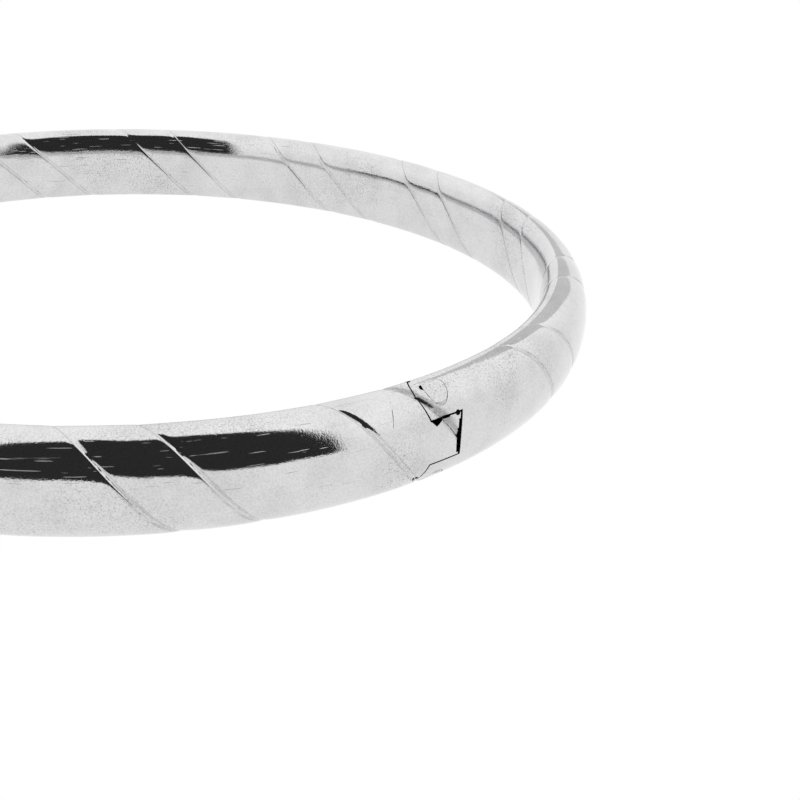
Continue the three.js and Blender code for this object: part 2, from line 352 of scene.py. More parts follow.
@dataclass(frozen=True)
class RingFace:
    """The bangle's grooved face as a function of arc length and turn."""

    section: TubeSection = field(default_factory=TubeSection)

    @property
    def groove(self) -> TwistGroove:
        """The groove cut in this section."""
        return TwistGroove(self.section)

    def points(self, along: Array, turn: Array, plain: bool = False) -> Array:
        """Points of the face.

        The section's point at the turn is carried round the ring by the angle along / radius, then
        sunk along its own normal by the groove's depth.

        Args:
            along: arc length from the hinge pin.
            turn: share of the girth from the crest.
            plain: True leaves the groove out.

        Returns:
            An array of x, y and z.
        """
        out, up, normal_out, normal_up = self.section.at(turn)
        angle = along / RING_RADIUS
        sink = np.zeros_like(along) if plain else self.groove.depth(along, turn)
        reach = RING_RADIUS + out - sink * normal_out
        return np.stack([reach * np.cos(angle), reach * np.sin(angle), MID_Z + up - sink * normal_up], -1)

    def locate(self, points: Array) -> tuple[Array, Array, Array]:
        """Where points lie on the ring.

        Args:
            points: an array of x, y and z.

        Returns:
            Arc length from the hinge pin, turn, and depth inside the plain outline.
        """
        along = RING_RADIUS * np.arctan2(points[:, 1], points[:, 0])
        out, up = np.hypot(points[:, 0], points[:, 1]) - RING_RADIUS, points[:, 2] - MID_Z
        return along, self.section.turn_of(out, up), self.section.below(out, up)

    def tarnish_and_painted_shade(self, points: Array) -> Array:
        """Share of tarnish and painted shade at points on the face."""
        along, turn, _ = self.locate(points)
        return self.groove.tarnish_and_painted_shade(along, turn)

    def is_wall(self, points: Array, normals: Array) -> Array:
        """True for faces cut into the ring.

        They lie deeper than the groove, or are turned from the outline: by more than the groove's own
        flanks near a line, and by much less away from one, where the face follows the outline.

        Args:
            points: the middle of each face.
            normals: the normal of each face.

        Returns:
            One truth value for each face.
        """
        along, turn, below = self.locate(points)
        _, _, normal_out, normal_up = self.section.at(turn)
        angle = along / RING_RADIUS
        facing = normal_out * (normals[:, 0] * np.cos(angle) + normals[:, 1] * np.sin(angle))
        facing += normal_up * normals[:, 2]
        away = ease(np.abs(self.groove.offset(along, turn)), *FLANK_REACH)
        least = FLANK_FACING + (PLAIN_FACING - FLANK_FACING) * away
        return (below > self.groove.depth(along, turn) + WALL_DEPTH) | (facing < least)


# Solids


def grid_faces(rows: int, columns: int, rows_join: bool = False, columns_join: bool = False) -> Array:
    """Four-cornered faces of a grid whose points are numbered row by row.

    Args:
        rows: how many rows of points there are.
        columns: how many points a row has.
        rows_join: True where the last row joins the first.
        columns_join: True where a row's last point joins its first.

    Returns:
        Each face's point, the one after it in the next row, that one's neighbour, and its own neighbour.
    """
    spans = np.arange(rows - (not rows_join)), np.arange(columns - (not columns_join))
    row, column = np.meshgrid(*spans, indexing="ij")
    after_row, after = (row + 1) % rows, (column + 1) % columns
    corners = [row * columns + column, after_row * columns + column]
    corners += [after_row * columns + after, row * columns + after]
    return np.stack(corners, -1).reshape(-1, 4)


# The order of a face's corners that turns it over and keeps its first corner.
TURNED_OVER = [0, 3, 2, 1]


class Solid:
    """A closed mesh in millimetres that can be cut, joined and finished as a piece."""

    def __init__(self, mesh: bpy.types.Mesh) -> None:
        """Takes the mesh as it is."""
        self.mesh = mesh

    @classmethod
    def from_grid(cls, points: Array, faces: Array) -> "Solid":
        """A solid from its points and faces.

        Args:
            points: an array whose last axis is x, y and z.
            faces: an array with each face's corners, as numbers of points.

        Returns:
            The solid.
        """
        mesh = bpy.data.meshes.new("solid")
        mesh.from_pydata(points.reshape(-1, 3).tolist(), [], faces.tolist())
        return cls(mesh)

    @classmethod
    def from_loops(cls, loops: Array) -> "Solid":
        """A solid from closed loops, one after another, with a flat or pointed end at each end of the row.

        Args:
            loops: an array of loops x points x 3; a loop's last point joins its first.

        Returns:
            The closed solid.
        """
        rows, columns = loops.shape[:2]
        quads = grid_faces(rows, columns, columns_join=True)[:, TURNED_OVER]
        mesh = bpy.data.meshes.new("solid")
        ends = [np.arange(columns)[::-1].tolist(), (np.arange(columns) + (rows - 1) * columns).tolist()]
        mesh.from_pydata(loops.reshape(-1, 3).tolist(), [], quads.tolist() + ends)
        solid = cls(mesh)
        solid.clean()
        return solid

    @classmethod
    def prism(cls, outline: Array, bottom: float, top: float) -> "Solid":
        """An outline of x and y points raised between two heights."""
        loops = [np.column_stack([outline, np.full(len(outline), z)]) for z in (bottom, top)]
        return cls.from_loops(np.stack(loops))

    @classmethod
    def turned(cls, centre: Point, profile: Array, sides: int = 96) -> "Solid":
        """A profile turned about an upright axis, with a flat or pointed end at each end of it.

        Args:
            centre: the axis, as x and y.
            profile: an array of radius and height.
            sides: how many sides the turned solid has.

        Returns:
            The closed solid.
        """
        angle = 2 * np.pi * np.arange(sides) / sides
        radius, height = np.maximum(profile[:, :1], MERGE), profile[:, 1:]
        x = centre[0] + radius * np.cos(angle)
        y = centre[1] + radius * np.sin(angle)
        return cls.from_loops(np.stack([x, y, np.broadcast_to(height, x.shape)], -1))

    @classmethod
    def ring(cls, centre: Point, profile: Array, sides: int = 72) -> "Solid":
        """A closed profile carried once round an upright axis.

        Args:
            centre: the axis, as x and y.
            profile: an array of radius and height whose last point joins its first.
            sides: how many sides the ring has.

        Returns:
            The closed solid.
        """
        angle = (2 * np.pi * np.arange(sides) / sides)[:, None]
        radius, height = profile[None, :, 0], profile[None, :, 1]
        points = [centre[0] + radius * np.cos(angle), centre[1] + radius * np.sin(angle), height + 0 * angle]
        faces = grid_faces(sides, len(profile), rows_join=True, columns_join=True)
        solid = cls.from_grid(np.stack(points, -1), faces)
        solid.clean()
        return solid

    def clean(self) -> None:
        """Merges doubled points and turns the faces outward."""
        work = bmesh.new()
        work.from_mesh(self.mesh)
        bmesh.ops.remove_doubles(work, verts=work.verts, dist=MERGE)
        bmesh.ops.recalc_face_normals(work, faces=work.faces)
        if work.calc_volume(signed=True) < 0:
            bmesh.ops.reverse_faces(work, faces=work.faces)
        work.to_mesh(self.mesh)
        work.free()

    def work(self, how: Cut, other: "Solid") -> "Solid":
        """Cuts another solid away from this one, keeps what they have in common, or joins them.

        Args:
            how: which of these.
            other: the other solid.

        Returns:
            This solid.
        """
        body = bpy.data.objects.new("body", self.mesh)
        tool = bpy.data.objects.new("tool", other.mesh)
        for item in (body, tool):
            bpy.context.scene.collection.objects.link(item)
        modifier = body.modifiers.new("work", "BOOLEAN")
        modifier.object, modifier.operation, modifier.solver = tool, how.value, "EXACT"
        evaluated = body.evaluated_get(bpy.context.evaluated_depsgraph_get())
        self.mesh = bpy.data.meshes.new_from_object(evaluated)
        bpy.data.objects.remove(body)
        bpy.data.objects.remove(tool)
        return self

    def settle(self) -> None:
        """Merges points that fall together and splits the faces into triangles that share no edge twice."""
        for split in ("BEAUTY", "EAR_CLIP"):
            work = bmesh.new()
            work.from_mesh(self.mesh)
            bmesh.ops.remove_doubles(work, verts=work.verts, dist=MERGE)
            bmesh.ops.triangulate(work, faces=work.faces, quad_method="BEAUTY", ngon_method=split)
            closed = all(edge.is_manifold for edge in work.edges)
            if closed:
                work.to_mesh(self.mesh)
            work.free()
            if closed:
                return
        log.warning("%s keeps its many-sided faces", self.mesh.name)

    def roll_edges(self, radius: float, least_angle: float = 40.0) -> None:
        """Rounds the sharp edges.

        Args:
            radius: about how far the rounding reaches.
            least_angle: how far an edge has to turn, in degrees, to be rounded.
        """
        work = bmesh.new()
        work.from_mesh(self.mesh)
        least = math.radians(least_angle)
        sharp = [edge for edge in work.edges if edge.is_manifold and edge.calc_face_angle() > least]
        bmesh.ops.bevel(
            work, geom=sharp, offset=radius, segments=4, profile=0.5, affect="EDGES", clamp_overlap=True
        )
        work.to_mesh(self.mesh)
        work.free()

    def points(self) -> Array:
        """Where the mesh's points are.

        Returns:
            An array of x, y and z, in millimetres.
        """
        flat = np.empty(len(self.mesh.vertices) * 3, np.float32)
        self.mesh.vertices.foreach_get("co", flat)
        return flat.reshape(-1, 3).astype(float)

    def faces(self) -> tuple[Array, Array]:
        """Where the faces are and which way they point.

        Returns:
            The middle of each face in millimetres, and its normal.
        """
        found = []
        for name in ("center", "normal"):
            flat = np.empty(len(self.mesh.polygons) * 3, np.float32)
            self.mesh.polygons.foreach_get(name, flat)
            found.append(flat.reshape(-1, 3).astype(float))
        return found[0], found[1]


@dataclass
class Stretch:
    """A closed stretch of the grooved ring between two arc lengths, solid or with a wall.

    The skin's grid has so many lines round the tube, plain_step apart between grooves, and reaches
    beyond both ends by the overlap before it is trimmed.
    """

    face: RingFace
    start: float
    end: float
    wall: float | None = None
    around: int = 160
    plain_step: float = 0.9
    plain: bool = False
    overlap: Point = (1.6, 2.0)
    bore_step: float = 0.8

    def _skin(self) -> tuple[Array, Array]:
        """Grid whose lines run with the grooves: one parameter across them, the other round the tube.

        A point's arc length is its place across plus pitch x turn, so after one turn round the tube
        the grid joins itself one pitch further on.

        Returns:
            Points and four-cornered faces that reach past both ends.
        """
        pitch, across = self.face.groove.pitch, self.face.groove.places(self.plain_step)
        kept, made = self.overlap
        low = math.floor((self.start - pitch - made - across[0]) / pitch)
        high = math.ceil((self.end + made - across[0]) / pitch) + 1
        place = (np.arange(low, high)[:, None] * pitch + across[None, :]).ravel()
        turn = np.arange(self.around) / self.around
        along = place[:, None] + pitch * turn[None, :]
        points = self.face.points(along, np.broadcast_to(turn, along.shape), self.plain)
        spans = np.arange(len(place) - len(across) - 1), np.arange(self.around)
        row, column = np.meshgrid(*spans, indexing="ij")
        last = column == self.around - 1
        after_row = np.where(last, row + len(across), row)
        after = np.where(last, 0, column + 1)
        corners = [row * self.around + column, after_row * self.around + after]
        corners += [(after_row + 1) * self.around + after, (row + 1) * self.around + column]
        middle = along[row, column]
        near = (middle > self.start - kept) & (middle < self.end + kept)
        return points, np.stack(corners, -1)[near]

    def _onward(self, arc_length: float) -> Vector:
        """The ring's direction at an arc length."""
        angle = arc_length / RING_RADIUS
        return Vector((-math.sin(angle), math.cos(angle), 0.0))

    def _trim(self, work: bmesh.types.BMesh) -> None:
        """Cuts the skin square at both ends.

        Args:
            work: the mesh that is cut.
        """
        for arc_length, side in ((self.start, -1.0), (self.end, 1.0)):
            angle = arc_length / RING_RADIUS
            normal = self._onward(arc_length) * side
            place = Vector((math.cos(angle), math.sin(angle), 0.0)) * RING_RADIUS
            geometry = [*work.verts, *work.edges, *work.faces]
            bmesh.ops.bisect_plane(
                work, geom=geometry, dist=1e-5, plane_co=place, plane_no=normal, clear_outer=True
            )

    def _bore(self, work: bmesh.types.BMesh, sides: int = 64) -> None:
        """Adds the inside of the tube wall, ending in the planes of the two ends.

        Args:
            work: the mesh that it is added to.
            sides: how many lines run along it.
        """
        steps = max(2, round((self.end - self.start) / self.bore_step))
        along = np.linspace(self.start, self.end, steps + 1)
        out, up, _, _ = TubeSection(inset=self.wall).at(np.arange(sides) / sides)
        angle = along[:, None] / RING_RADIUS
        reach = RING_RADIUS + out[None, :]
        points = np.stack([reach * np.cos(angle), reach * np.sin(angle), MID_Z + up + 0 * angle], -1)
        work.from_mesh(Solid.from_grid(points, grid_faces(steps + 1, sides, columns_join=True)).mesh)

    def solid(self) -> Solid:
        """The stretch: its skin trimmed, the bore added where it has a wall, and both ends filled.

        Returns:
            The closed solid.
        """
        points, faces = self._skin()
        work = bmesh.new()
        work.from_mesh(Solid.from_grid(points, faces).mesh)
        self._trim(work)
        bmesh.ops.delete(work, geom=[v for v in work.verts if not v.link_faces], context="VERTS")
        if self.wall:
            self._bore(work)
        rims = [edge for edge in work.edges if edge.is_boundary]
        tangent = self._onward((self.start + self.end) / 2)
        for side, arc_length in ((-1.0, self.start), (1.0, self.end)):
            rim = [edge for edge in rims if edge.verts[0].co.dot(tangent) * side > 0]
            normal = self._onward(arc_length) * side
            bmesh.ops.triangle_fill(work, use_beauty=True, use_dissolve=False, edges=rim, normal=normal)
        bmesh.ops.recalc_face_normals(work, faces=work.faces)
        mesh = bpy.data.meshes.new("stretch")
        work.to_mesh(mesh)
        open_edges = sum(not edge.is_manifold for edge in work.edges)
        work.free()
        log.info("stretch %.2f to %.2f: %d open edges", self.start, self.end, open_edges)
        return Solid(mesh)


# Finishes


def linear(hex_colour: str) -> tuple[float, float, float, float]:
    """An sRGB hex colour as linear red, green, blue and alpha."""
    parts = [int(hex_colour[i : i + 2], 16) / 255 for i in (1, 3, 5)]
    return (*[p / 12.92 if p <= 0.04045 else ((p + 0.055) / 1.055) ** 2.4 for p in parts], 1.0)


def add_node(tree: Tree, kind: str, links: dict | None = None, **settings: object) -> bpy.types.Node:
    """Adds one node.

    Args:
        tree: the material's node tree.
        kind: the node's type name.
        links: input name or number to an output socket or a constant.
        settings: the node's own properties.

    Returns:
        The new node.
    """
    node = tree.nodes.new(kind)
    for name, value in settings.items():
        setattr(node, name, value)
    for name, value in (links or {}).items():
        socket = node.inputs[name]
        if isinstance(value, Socket):
            tree.links.new(value, socket)
        else:
            socket.default_value = value
    return node


@dataclass(frozen=True)
class Silver:
    """Sterling silver: nearly white and mirror-bright, with grain, specks, clouds and hairlines.

    The grain, specks and hairlines are about 0.1 mm across, three times as coarse as the real ones, so
    that they show. The dull colour, which is silver's thin tarnish, gathers in them. Where a finish takes
    it, the dull colour also paints the grooves' tarnish and painted shade.
    """

    name: str
    light: str = "#DDDDDE"
    dull: str = "#8E8E90"
    roughness: float = 0.04
    dull_roughness: float = 0.15
    grain: float = 0.3
    hairlines: float = 1.0
    takes_tarnish_and_painted_shade: bool = False
    speck_mm: float = 0.1
    grain_mm: float = 0.12
    cloud_mm: float = 2.6
    wave_mm: float = 2.4
    worn_mm: float = 9.0
    hair_mm: Point = (2.4, 0.08)

    def material(self) -> bpy.types.Material:
        """The finish as a node material on Object coordinates.

        Returns:
            The material.
        """
        made = bpy.data.materials.new(self.name)
        made.use_nodes = True
        tree = made.node_tree
        tree.nodes.clear()
        place = add_node(tree, "ShaderNodeTexCoord").outputs["Object"]
        speckle = self._noise(tree, place, self.speck_mm, detail=2.0)
        hairs = self._hairs(tree, place)
        dark = self._dark(tree, place, speckle, hairs)
        tint = {"Factor": dark, "A": linear(self.light), "B": linear(self.dull)}
        colour = add_node(tree, "ShaderNodeMix", tint, data_type="RGBA").outputs["Result"]
        rough = self.roughness + self.dull_roughness
        surface = {
            "Base Color": colour,
            "Metallic": 1.0,
            "Roughness": self._ramp(tree, dark, (0.0, 1.0), (self.roughness, rough)),
            "Normal": self._relief(tree, place, speckle, hairs),
        }
        shader = add_node(tree, "ShaderNodeBsdfPrincipled", surface)
        add_node(tree, "ShaderNodeOutputMaterial", {"Surface": shader.outputs["BSDF"]})
        return made

    def _noise(self, tree: Tree, place: Socket, size_mm: float, detail: float = 4.0) -> Socket:
        """Noise whose features measure about size_mm."""
        links = {"Vector": place, "Scale": 1.0 / (size_mm * MM), "Detail": detail, "Roughness": 0.6}
        return add_node(tree, "ShaderNodeTexNoise", links).outputs["Fac"]

    def _maths(self, tree: Tree, operation: str, first: Socket | float, second: Socket | float) -> Socket:
        """One sum."""
        return add_node(tree, "ShaderNodeMath", {0: first, 1: second}, operation=operation).outputs[0]

    def _ramp(self, tree: Tree, value: Socket, source: Point, target: Point) -> Socket:
        """A value mapped from one range onto another, clamped.

        Args:
            tree: the material's node tree.
            value: the value.
            source: the range that it is mapped from.
            target: the range that it is mapped onto.

        Returns:
            The mapped value.
        """
        links = {"Value": value, "From Min": source[0], "From Max": source[1]}
        links |= {"To Min": target[0], "To Max": target[1]}
        return add_node(tree, "ShaderNodeMapRange", links).outputs["Result"]

    def _hairs(self, tree: Tree, place: Socket) -> Socket:
        """Polishing hairlines that run round the ring: noise drawn out along it, thresholded.

        Args:
            tree: the material's node tree.
            place: the point on the object.

        Returns:
            1 on a hairline and 0 beside it.
        """
        long, thin = self.hair_mm
        parts = add_node(tree, "ShaderNodeSeparateXYZ", {"Vector": place}).outputs
        angle = self._maths(tree, "ARCTAN2", parts["Y"], parts["X"])
        along = self._maths(tree, "MULTIPLY", angle, RING_RADIUS / long)
        radius = add_node(tree, "ShaderNodeVectorMath", {0: place, 1: (1, 1, 0)}, operation="MULTIPLY")
        reach = add_node(tree, "ShaderNodeVectorMath", {0: radius.outputs[0]}, operation="LENGTH")
        heights = parts["Z"], reach.outputs["Value"]
        across = [self._maths(tree, "MULTIPLY", part, 1.0 / (thin * MM)) for part in heights]
        drawn = add_node(tree, "ShaderNodeCombineXYZ", {"X": along, "Y": across[0], "Z": across[1]})
        links = {"Vector": drawn.outputs["Vector"], "Scale": 1.0, "Detail": 1.0}
        lines = add_node(tree, "ShaderNodeTexNoise", links).outputs["Fac"]
        return self._ramp(tree, lines, (0.70, 0.78), (0.0, 1.0))

    def _dark(self, tree: Tree, place: Socket, speckle: Socket, hairs: Socket) -> Socket:
        """Share of the dull colour: clouds, fine grain, dark specks, hairlines, worn patches, and the
        grooves' tarnish and painted shade.

        Args:
            tree: the material's node tree.
            place: the point on the object.
            speckle: the noise of the specks.
            hairs: the hairlines.

        Returns:
            The share, from 0 to 1.
        """
        clouds = self._ramp(tree, self._noise(tree, place, self.cloud_mm), (0.42, 0.75), (0.0, 0.2))
        grain = self._ramp(tree, self._noise(tree, place, self.grain_mm), (0.4, 0.75), (0.0, self.grain))
        specks = self._ramp(tree, speckle, (0.70, 0.78), (0.0, 0.7))
        dark = self._maths(tree, "ADD", self._maths(tree, "ADD", clouds, grain), specks)
        dark = self._maths(tree, "ADD", dark, self._maths(tree, "MULTIPLY", hairs, 0.2))
        patches = self._noise(tree, place, self.worn_mm, detail=1.0)
        worn = self._ramp(tree, patches, (0.54, 0.66), (0.0, 0.5))
        fleck = self._ramp(tree, speckle, (0.54, 0.62), (0.0, 1.0))
        dark = self._maths(tree, "ADD", dark, self._maths(tree, "MULTIPLY", worn, fleck))
        if self.takes_tarnish_and_painted_shade:
            # The point attribute paints the grooves' lip lines, partly tarnish and partly painted shade, and
            # painted shade on the filed facet.
            tarnish_and_painted_shade = add_node(tree, "ShaderNodeAttribute", attribute_name="tarnish_and_painted_shade").outputs["Fac"]
            dark = self._maths(tree, "ADD", dark, tarnish_and_painted_shade)
        return self._maths(tree, "MINIMUM", dark, 1.0)

    def _relief(self, tree: Tree, place: Socket, speckle: Socket, hairs: Socket) -> Socket:
        """Bump from a soft hand-polished wave, the specks and the hairlines, each of its own depth in mm.

        Args:
            tree: the material's node tree.
            place: the point on the object.
            speckle: the noise of the specks.
            hairs: the hairlines.

        Returns:
            The bent normal.
        """
        normal = None
        wave = self._noise(tree, place, self.wave_mm, detail=1.0)
        for height, depth_mm in ((wave, 0.02), (speckle, 0.003), (hairs, 0.006 * self.hairlines)):
            links = {"Height": height, "Strength": 1.0, "Distance": depth_mm * MM}
            if normal is not None:
                links["Normal"] = normal
            normal = add_node(tree, "ShaderNodeBump", links).outputs["Normal"]
        return normal


class Finishes:
    """The bangle's finishes, each made once."""

    # Buffed to a mirror and worn: bright and cool, with dark lines beside the grooves, partly tarnish and
    # partly painted shade.
    POLISHED = Silver("polished_sterling_silver", takes_tarnish_and_painted_shade=True)
    # Turned and lightly buffed: the same metal with softer reflections.
    PLAIN = Silver("plain_polished_silver", light="#DADADB", roughness=0.14)
    # Filed and left: an even grey sheen, where polish doesn't reach.
    SATIN = Silver("satin_filed_silver", light="#CFCFD0", roughness=0.3, grain=0.6, hairlines=1.5)
    # Drawn hard for spring: a little greyer, with streaked reflections.
    WIRE = Silver("hard_drawn_silver_wire", light="#CACACB", roughness=0.2, hairlines=1.2)
    # Brushed for grip: matt, and painted a darker grey as the tab's shade.
    MATT_SHADED_TAB = Silver("matt_silver_tab_with_painted_shade", light="#B9B9BB", roughness=0.3, grain=0.6, hairlines=1.5)
    # Silver sulphide in the gaps that nothing rubs, and painted shade of the narrow seams: nearly black.
    OXIDE_AND_PAINTED_SHADE = Silver("oxide_and_painted_shade_in_the_seams", light="#1E1E1F", dull="#0C0C0C", roughness=0.5)

    def __init__(self) -> None:
        """Starts with none made."""
        self._made: dict[str, bpy.types.Material] = {}

    def get(self, silver: Silver) -> bpy.types.Material:
        """The material of a finish, made when it is first asked for.

        Args:
            silver: the finish.

        Returns:
            Its material.
        """
        if silver.name not in self._made:
            self._made[silver.name] = silver.material()
        return self._made[silver.name]


@dataclass
class Bench:
    """Where solids become finished pieces of the bangle."""

    finishes: Finishes
    face: RingFace

    def finish(
        self,
        name: str,
        solid: Solid,
        skin: Silver,
        body: Body,
        slot: str,
        node: str,
        walls: Silver | None = None,
        crease: float = 38.0,
    ) -> None:
        """Turns a solid into a piece in metres that rides on a body and stands for a CAD node.

        Args:
            name: the piece's name.
            solid: its closed mesh, in millimetres.
            skin: its finish.
            body: the body it rides on.
            slot: the record's material slot; not used.
            node: the CAD node it stands for.
            walls: the finish of the faces cut into the ring, where it is another.
            crease: how far an edge turns, in degrees, before it looks sharp.
        """
        solid.settle()
        mesh = solid.mesh
        if skin.takes_tarnish_and_painted_shade:
            # The grooves' tarnish and painted shade, kept as a point attribute.
            shade = self.face.tarnish_and_painted_shade(solid.points()).astype(np.float32)
            mesh.attributes.new("tarnish_and_painted_shade", "FLOAT", "POINT").data.foreach_set("value", shade)
        mesh.materials.clear()
        mesh.materials.append(self.finishes.get(skin))
        if walls is not None:
            mesh.materials.append(self.finishes.get(walls))
            deep = self.face.is_wall(*solid.faces())
            mesh.polygons.foreach_set("material_index", deep.astype(np.int32))
        mesh.name = name
        mesh.transform(Matrix.Scale(MM, 4))
        mesh.shade_smooth()
        mesh.set_sharp_from_angle(angle=math.radians(crease))
        piece = bpy.data.objects.new(name, mesh)
        bpy.context.scene.collection.objects.link(piece)
        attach(piece, body.value)
        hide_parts(node)
        log.info("%s: %d faces on %s", name, len(mesh.polygons), body.value)


# Outlines


def arc(centre: Point, radius: float, start: float, end: float, count: int) -> Array:
    """Points of x and y on a circle between two angles in radians."""
    angle = np.linspace(start, end, count)
    return np.column_stack([centre[0] + radius * np.cos(angle), centre[1] + radius * np.sin(angle)])


def circle(centre: Point, radius: float, count: int = 96) -> Array:
    """Points once round a circle."""
    return arc(centre, radius, 0.0, 2 * math.pi, count + 1)[:-1]


def round_box(centre: Point, halves: Point, corner: float, count: int = 9) -> Array:
    """A rectangle with rounded corners.

    Args:
        centre: its middle.
        halves: half its width and half its height.
        corner: the radius of its corners.
        count: how many points each corner has.

    Returns:
        Points of x and y, from the corner that is most on both round by quarter circles.
    """
    angle = np.linspace(0.0, np.pi / 2, count)[None, :] + np.pi / 2 * np.arange(4)[:, None]
    side = np.array([[1, 1], [-1, 1], [-1, -1], [1, -1]]) * (np.array(halves) - corner)
    turned = corner * np.stack([np.cos(angle), np.sin(angle)], -1)
    return (np.array(centre) + side[:, None, :] + turned).reshape(-1, 2)


# Sub-assemblies

# The grid of the stretches at the hinge, which show the finest marks.
FINE_GRID = {"around": 240, "plain_step": 0.15}


@dataclass
class KnuckleHinge:
    """Three knuckles on an upright pin, flush with the tube: the outer two are the rear half's.

    A chip is an outline of y and z that is cut through the seam. A dent and a point of a scratch are
    each given by x, y, z and radius.
    """

    bench: Bench
    pin_out: float = PIN_OUT
    barrel: float = 1.55
    recess: float = 1.67
    outer_barrel: float = 1.44
    outer_recess: float = 1.52
    front_length: float = 2.72
    rear_length: float = 3.0
    overhang: float = 1.9
    centre: Point = (1.81, 4.36)
    gap: float = 0.1
    slack: float = 0.03
    tube_radius: float = 0.75
    bore_radius: float = 0.44
    pin_radius: float = 0.4
    rivet_radius: float = 0.742
    rivet_height: float = 0.8
    rivet_shift: float = 0.012
    chips: tuple[tuple[Point, ...], ...] = (
        ((-1.2, 4.6), (-1.12, 4.42), (-0.73, 4.03), (-0.26, 4.24), (0.33, 4.3), (0.55, 4.6)),
        ((1.3, 4.1), (0.96, 4.0), (0.87, 3.12), (0.81, 2.8), (0.84, 2.3), (0.92, 1.95), (1.3, 1.9)),
    )
    chip_reach: Point = (31.62, 33.0)
    dents: tuple[Bead, ...] = (
        (30.84, -0.74, 5.88, 0.19),
        (29.95, -0.98, 5.97, 0.15),
        (32.14, 0.94, 4.4, 0.18),
        (31.68, -1.64, 0.85, 0.2),
    )
    scratch: tuple[Bead, ...] = (
        (30.86, -0.74, 5.89, 0.11),
        (31.05, -0.7, 5.8, 0.075),
        (31.2, -0.66, 5.7, 0.045),
        (31.36, -0.62, 5.58, 0.02),
    )

    @property
    def axis(self) -> Point:
        """Where the pin stands, as x and y."""
        return RING_RADIUS + self.pin_out, 0.0

    def _outline(self, side: float, radius: float, bite: bool) -> Array:
        """Outline of the space beyond a seam: a half plane with a barrel's bulge added or bitten out.

        Args:
            side: 1 for the space on +Y, -1 for the space on -Y.
            radius: the barrel's or recess's radius.
            bite: True where the barrel is left standing in the space.

        Returns:
            Points of x and y.
        """
        far = 8.0
        start = -side * SEAM / 2
        lean = math.asin((SEAM / 2) / radius)
        turn = (math.pi + lean, -lean) if bite else (math.pi + lean, 2 * math.pi - lean)
        curve = arc(self.axis, radius, *turn, 96)
        curve[:, 1] *= side
        corners = np.array([[self.axis[0] + far, start], [self.axis[0] + far, side * far]])
        back = np.array([[self.axis[0] - far, side * far], [self.axis[0] - far, start]])
        return np.vstack([curve, corners, back])

    def _carve(self, block: Solid, side: float, ends_bite: bool) -> Solid:
        """Cuts a block back to its seam, level by level, and bores it for the hinge tube.

        Args:
            block: the solid stretch of ring.
            side: the side of the seam that is cut away, 1 for +Y.
            ends_bite: True where the upper and lower knuckles stay and the middle is recessed.

        Returns:
            The block.
        """
        low, high = self.centre
        if ends_bite:
            low, high = low - self.gap, high + self.gap
        outer = self._outline(side, self.outer_barrel if ends_bite else self.outer_recess, ends_bite)
        middle = self._outline(side, self.recess if ends_bite else self.barrel, not ends_bite)
        reach_outer = self.slack if ends_bite else 0.0
        reach_middle = 0.0 if ends_bite else self.slack
        block.work(Cut.AWAY, Solid.prism(outer, high - reach_outer, ABOVE))
        block.work(Cut.AWAY, Solid.prism(outer, BELOW, low + reach_outer))
        block.work(Cut.AWAY, Solid.prism(middle, low - reach_middle, high + reach_middle))
        return block.work(Cut.AWAY, Solid.prism(circle(self.axis, self.tube_radius + FIT), BELOW, ABOVE))

    def _wear(self, block: Solid) -> Solid:
        """Sinks the dents at the ends of the seam.

        Args:
            block: one of the two blocks.

        Returns:
            The block.
        """
        for x, y, z, radius in self.dents:
            angle = np.linspace(0.0, np.pi, 13)
            ball = np.column_stack([radius * np.sin(angle), z - radius * np.cos(angle)])
            block.work(Cut.AWAY, Solid.turned((x, y), ball, 24))
        return block

    def _blocks(self) -> None:
        """The two blocks that carry the knuckles."""
        face = self.bench.face
        front = Stretch(face, -self.front_length, self.overhang, **FINE_GRID).solid()
        front = self._wear(self._carve(front, 1.0, False))
        for chip in self.chips:
            loops = [np.column_stack([np.full(len(chip), x), chip]) for x in self.chip_reach]
            front.work(Cut.AWAY, Solid.from_loops(np.stack(loops)))
        silver, slot = Finishes.POLISHED, "polished_silver"
        # The faces cut into the blocks are painted nearly black: oxide and painted shade in the seams and
        # other cuts.
        walls = Finishes.OXIDE_AND_PAINTED_SHADE
        node = "front_hinge_knuckle"
        self.bench.finish("front_knuckle_block", front, silver, Body.FRONT, slot, node, walls)
        rear = Stretch(face, -self.overhang, self.rear_length, **FINE_GRID).solid()
        rear = self._wear(self._carve(rear, -1.0, True))
        rear.work(Cut.AWAY, needle(np.array(self.scratch)))
        self.bench.finish("rear_knuckle_block", rear, silver, Body.REAR, slot, "rear_hinge_knuckles", walls)

    def _pin(self) -> None:
        """The pin, riveted over at both ends and filed flush with the tube's face, a hair off centre."""
        low, high = self.rivet_height, 2 * MID_Z - self.rivet_height
        wide, thin, flare, reach = self.rivet_radius, self.pin_radius, 0.05, 1.5
        profile = [[0.0, BELOW], [wide, BELOW], [wide, low], [thin, low + flare]]
        profile += [[thin, high - flare], [wide, high], [wide, ABOVE], [0.0, ABOVE]]
        pin = Solid.turned((self.axis[0] - self.rivet_shift, -self.rivet_shift), np.array(profile))
        pin.work(Cut.COMMON, Stretch(self.bench.face, -reach, reach, plain=True, **FINE_GRID).solid())
        self.bench.finish("riveted_pin", pin, Finishes.PLAIN, Body.REAR, "hard_wire", "hinge_pin")

